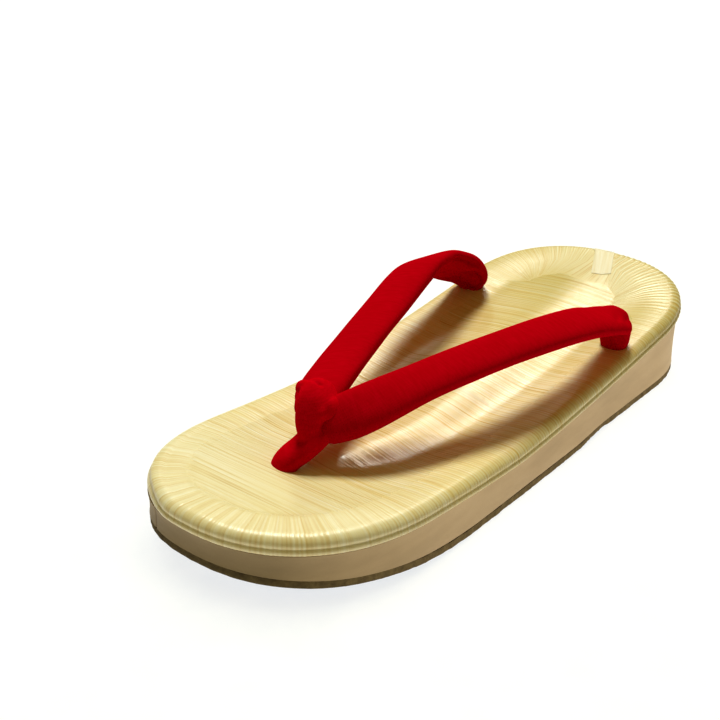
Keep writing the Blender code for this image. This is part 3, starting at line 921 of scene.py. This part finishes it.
def padded_band(name, rows, folds, mirrored, finish, square=0.5, dome=(True, True), seed=50):
    """A closed padded cloth tube through rows of x, y, z, width, thickness and tilt."""
    even, run = even_rows(rows, ARM_PITCH)
    centre = even[:, :3]
    ahead = np.gradient(centre, axis=0)
    ahead /= np.linalg.norm(ahead, axis=1)[:, None]
    across = np.cross(ahead[0], (0, 0, 1))
    frames = []
    for direction in ahead:
        across = across - direction * (across @ direction)
        across = across / np.linalg.norm(across)
        frames.append(across)
    angle = np.linspace(0, 2 * math.pi, ARM_SIDES + 1)
    degrees = np.degrees(angle)
    points = np.zeros((len(even), ARM_SIDES + 1, 3))
    lay = np.zeros((len(even), ARM_SIDES + 1, 2))
    for index, (row, level, direction) in enumerate(zip(even, frames, ahead)):
        tilt = math.radians(row[5])
        side = level * math.cos(tilt) + np.cross(direction, level) * math.sin(tilt)
        outward = np.cross(side, direction)
        wide, deep = row[3] / 2, row[4] / 2
        power = 2 + square * min(max(row[3] / row[4] - 1, 0), 1)
        cosine, sine = np.cos(angle), np.sin(angle)
        a = np.sign(cosine) * np.abs(cosine) ** (2 / power) * wide
        b = np.sign(sine) * np.abs(sine) ** (2 / power) * deep
        # Fuller on top than below, where the seam runs.
        b = np.where(b < 0, b * 0.94, b)
        ends = 1.0
        if dome[0] and run[index] < deep:
            ends = math.sqrt(max(1 - (1 - run[index] / deep) ** 2, 0))
        if dome[1] and run[-1] - run[index] < deep:
            ends = min(ends, math.sqrt(max(1 - (1 - (run[-1] - run[index]) / deep) ** 2, 0)))
        radial = np.stack([a / max(wide, 1e-6) ** 2, b / max(deep, 1e-6) ** 2], 1)
        radial /= np.maximum(np.linalg.norm(radial, axis=1), 1e-9)[:, None]
        lift = np.zeros_like(angle)
        along = np.full_like(angle, run[index])
        for fold in folds:
            for turn in (-360, 0, 360):
                lift = lift + soft_fold(run[-1] - along, degrees + turn, fold)
        seam = SEAM_DEPTH * smooth(run[-1] - run[index], 18, 30)
        lift = lift - seam * np.exp(-(((degrees - SEAM_ROUND) / SEAM_WIDTH) ** 2))
        place = 12 * np.cos(angle - 1.0) + 40 * math.sin(run[index] / 90)
        lift = lift + 0.10 * wiggle(place, 5.0, seed)
        lift[-1] = lift[0]
        lift = lift * ends
        a, b = (a * ends + radial[:, 0] * lift), (b * ends + radial[:, 1] * lift)
        points[index] = centre[index] + side * a[:, None] + outward * b[:, None]
        lay[index] = np.stack([degrees / 360 * ARM_GIRTH, along], 1)
    if mirrored:
        points[..., 0] *= -1
    obj = close_up(sheet_of(name, points, lay), within=0.02)
    obj.data.materials.append(finish)
    return obj


# Folds on each strap: distance back from its foot and degrees round it, at both ends of the fold,
# then the fold's width and depth. Nought degrees is the outer edge, 90 the top, 270 underneath.
RIGHT_FOLDS = (
    # from back, from round, to back, to round, width, depth
    (34.0, 318.0, 18.0, 324.0, 2.6, 1.5),
    (18.0, 326.0, 13.0, 340.0, 1.8, 0.6),
    (24.0, 10.0, 10.0, 8.0, 2.4, -0.8),
    (19.0, 296.0, 10.0, 310.0, 2.0, -0.5),
    (23.0, 55.0, 13.0, 60.0, 2.0, 0.8),
    (30.0, 60.0, 22.0, 84.0, 1.3, 0.5),
)
LEFT_FOLDS = (
    (44.0, 200.0, 24.0, 212.0, 1.6, 1.4),
    (38.0, 322.0, 20.0, 282.0, 1.6, 2.4),
    (28.0, 268.0, 14.0, 226.0, 1.5, 2.4),
    (20.0, 300.0, 10.0, 262.0, 1.5, 1.5),
    (13.0, 232.0, 8.0, 262.0, 1.1, 1.1),
    (30.0, 240.0, 16.0, 206.0, 2.2, -0.9),
)

# The toe loop: a band over the straps' apex, down its front and in under it, and the stem below.
LOOP_BAND = (
    # x, y, z, width, thickness, tilt
    (1.0, -61.5, 34.0, 8.0, 4.0, 0.0),
    (0.2, -62.8, 38.0, 10.0, 4.4, -6.0),
    (-0.2, -65.6, 41.2, 11.4, 4.8, -10.0),
    (-0.4, -69.4, 42.9, 12.4, 5.0, -10.0),
    (0.2, -73.2, 42.0, 11.4, 5.4, -10.0),
    (0.9, -76.2, 38.6, 10.0, 5.4, -12.0),
    (2.4, -77.5, 34.6, 9.4, 5.2, -14.0),
    (4.0, -77.2, 30.8, 8.6, 4.8, -12.0),
    (4.2, -75.2, 28.6, 7.6, 4.0, -6.0),
)
LOOP_HEART = (
    (3.0, -64.0, 37.0, 8.0, 7.0, 0.0),
    (2.2, -68.4, 38.2, 9.4, 9.0, 0.0),
    (1.8, -72.8, 37.6, 9.6, 9.2, 0.0),
    (2.4, -75.6, 34.4, 8.6, 7.4, 0.0),
)
LOOP_EAR = (
    (-0.5, -70.0, 42.8, 6.4, 5.0, 0.0),
    (-5.0, -71.4, 44.4, 6.4, 5.2, 0.0),
    (-8.4, -72.6, 44.4, 5.4, 5.0, 0.0),
)
STEM = (
    (3.4, -71.5, 33.6, 10.0, 7.6, 0.0),
    (2.4, -75.8, 31.2, 11.0, 7.8, 4.0),
    (0.8, -80.0, 28.2, 11.4, 7.6, 8.0),
    (-1.4, -83.6, 25.4, 11.2, 7.2, 8.0),
    (-2.6, -85.8, 22.2, 10.4, 7.0, 4.0),
    (-2.4, -86.2, 17.5, 8.4, 6.4, 0.0),
)
LOOP_VOXEL, LOOP_SMOOTHING = 0.42, 7
LOOP_CREASES = (
    # where each crease starts and ends, its width and depth
    ((-4.6, -70.2, 46.8), (-1.0, -69.0, 46.2), 0.9, 0.6),
    ((6.2, -71.0, 43.6), (6.2, -77.0, 33.0), 1.3, 0.8),
    ((-2.0, -78.6, 40.5), (0.6, -79.6, 34.0), 1.6, 0.35),
    ((2.4, -78.4, 40.0), (3.4, -79.2, 34.5), 1.3, 0.35),
)


def build_toe_loop(finish):
    """The loop and stem: padded bands pressed into one piece of cloth, then creased."""
    bands = [
        padded_band(f"loop_part_{i}", rows, (), False, finish, seed=60 + i)
        for i, rows in enumerate((LOOP_BAND, LOOP_HEART, LOOP_EAR, STEM))
    ]
    deselect()
    for band in bands:
        band.select_set(True)
    bpy.context.view_layer.objects.active = bands[0]
    bpy.ops.object.join()
    obj = bpy.context.object
    obj.name = obj.data.name = "toe_loop_cloth"
    step = obj.modifiers.new("One cloth", "REMESH")
    step.mode, step.voxel_size = "VOXEL", LOOP_VOXEL * MM
    bpy.ops.object.modifier_apply(modifier=step.name)
    step = obj.modifiers.new("Soften", "SMOOTH")
    step.factor, step.iterations = 0.5, LOOP_SMOOTHING
    bpy.ops.object.modifier_apply(modifier=step.name)
    mesh = obj.data
    count = len(mesh.vertices)
    co, no = np.empty(count * 3, np.float32), np.empty(count * 3, np.float32)
    mesh.vertices.foreach_get("co", co)
    mesh.vertices.foreach_get("normal", no)
    co, no = co.reshape(-1, 3) / MM, no.reshape(-1, 3)
    lift = np.zeros(count)
    for start, end, width, depth in LOOP_CREASES:
        start, end = np.array(start), np.array(end)
        line = end - start
        part = np.clip((co - start) @ line / (line @ line), 0, 1)
        away = np.linalg.norm(co - start - part[:, None] * line, axis=1)
        lift -= depth * np.exp(-((away / width) ** 2)) * (1 - smooth(away, 3.0, 5.0))
    co = co + no * lift[:, None]
    mesh.vertices.foreach_set("co", (co * MM).astype(np.float32).ravel())
    mesh.update()
    bpy.ops.object.shade_smooth()
    return obj


# ---------------------------------------------------------------- studio

VIEW_GAMMA = 0.8
AIR_COLOUR, AIR_STRENGTH = (1.0, 0.84, 0.25), 0.25
FLOOR_SIZE = 8.0
CAMERA_PLACE, CAMERA_TURN = (0.2165, -0.3145, 0.213), (64.25, 0.0, 39.3)
CAMERA_LENS, CAMERA_SENSOR = 57.5, 36.0
LIGHTS_AIM = (0, 0, 0.03)
LIGHTS = {
    # place, size, power, colour
    "key_window": ((-0.42, 1.16, 0.90), 0.36, 3.5, (1.0, 1.0, 0.97)),
    "overhead_panel": ((-0.74, 0.86, 2.12), 0.66, 54.5, (0.96, 1.0, 0.955)),
    "left_window": ((-0.84, 0.80, 0.64), 0.36, 0.5, (1.0, 1.0, 0.97)),
    "side_panel": ((1.1, 0.65, 0.16), 0.5, 16.0, (1.0, 0.97, 0.97)),
    "floor_panel": ((-0.5, 0.6, 4.0), 6.0, 285.0, (0.91, 0.95, 1.03)),
}


def light(name, place, size, power, colour):
    """A square soft panel turned toward the sandal."""
    data = bpy.data.lights.new(name, "AREA")
    data.energy, data.size, data.color = power, size, colour
    obj = bpy.data.objects.new(name, data)
    bpy.context.scene.collection.objects.link(obj)
    obj.location = place
    aim = Vector(LIGHTS_AIM) - Vector(place)
    obj.rotation_euler = aim.to_track_quat("-Z", "Y").to_euler()
    return obj


def build_studio(pieces):
    """The pale floor, the soft panels and the camera."""
    scene = bpy.context.scene
    scene.view_settings.view_transform = "Standard"
    scene.view_settings.look = "None"
    scene.view_settings.gamma = VIEW_GAMMA
    world = bpy.data.worlds.new("studio_air")
    scene.world = world
    world.use_nodes = True
    air = world.node_tree.nodes["Background"]
    air.inputs["Color"].default_value = (*AIR_COLOUR, 1.0)
    air.inputs["Strength"].default_value = AIR_STRENGTH

    deselect()
    bpy.ops.mesh.primitive_plane_add(size=FLOOR_SIZE)
    floor = bpy.context.object
    floor.name = floor.data.name = "studio_floor"
    made = Finish("pale_floor")
    speck = made.noise(made.places, 60.0, 2.0)
    colour = made.ramp(speck, (0.3, (0.90, 0.91, 0.92)), (0.7, (0.93, 0.935, 0.94)))
    made.set(Base_Color=colour, Roughness=0.9, Specular_IOR_Level=0.1)
    floor.data.materials.append(made.material)

    on_sandal = bpy.data.collections.new("sandal_only")
    for piece in pieces:
        on_sandal.objects.link(piece)
    on_floor = bpy.data.collections.new("floor_only")
    on_floor.objects.link(floor)
    on_side = bpy.data.collections.new("side_only")
    for piece in pieces:
        if "wrap" in piece.name or "outsole" in piece.name:
            on_side.objects.link(piece)
    receivers = {"floor_panel": on_floor, "side_panel": on_side}
    for name, (place, size, power, colour) in LIGHTS.items():
        lamp = light(name, place, size, power, colour)
        lamp.light_linking.receiver_collection = receivers.get(name, on_sandal)
        if name in ("key_window", "left_window"):
            lamp.visible_diffuse = False
        if name == "floor_panel":
            lamp.light_linking.blocker_collection = on_floor

    data = bpy.data.cameras.new("view")
    data.lens, data.sensor_width = CAMERA_LENS, CAMERA_SENSOR
    camera = bpy.data.objects.new("view", data)
    scene.collection.objects.link(camera)
    camera.location = CAMERA_PLACE
    camera.rotation_euler = [math.radians(angle) for angle in CAMERA_TURN]
    scene.camera = camera


def main():
    """Builds each piece, hangs it under the root body and sets it in the studio."""
    cover = build_cover(cover_vinyl())
    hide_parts("top_cover")
    strip = build_heel_strip(strip_vinyl())
    wrap = build_side_wrap(wrap_vinyl())
    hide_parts("side_wrap")
    core = build_core(core_sponge())
    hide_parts("midsole")
    outsole = build_outsole(outsole_rubber())
    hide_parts("outsole")
    cloth = red_cloth("red_strap_cloth", True, STRAP_RED)
    right = padded_band("right_strap", RIGHT_ARM, RIGHT_FOLDS, False, cloth, seed=51)
    left = padded_band("left_strap", LEFT_ARM, LEFT_FOLDS, True, cloth, seed=52)
    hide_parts("straps")
    # The loop's cloth is the straps' red painted lighter, as painted light for the fill on its
    # front.
    loop = build_toe_loop(red_cloth("red_loop_cloth_painted_lit", False, LOOP_RED_PAINTED_LIT))
    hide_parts("toe_loop")
    pieces = (cover, strip, wrap, core, outsole, right, left, loop)
    for piece in pieces:
        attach(piece, "root")
    build_studio(pieces)


main()
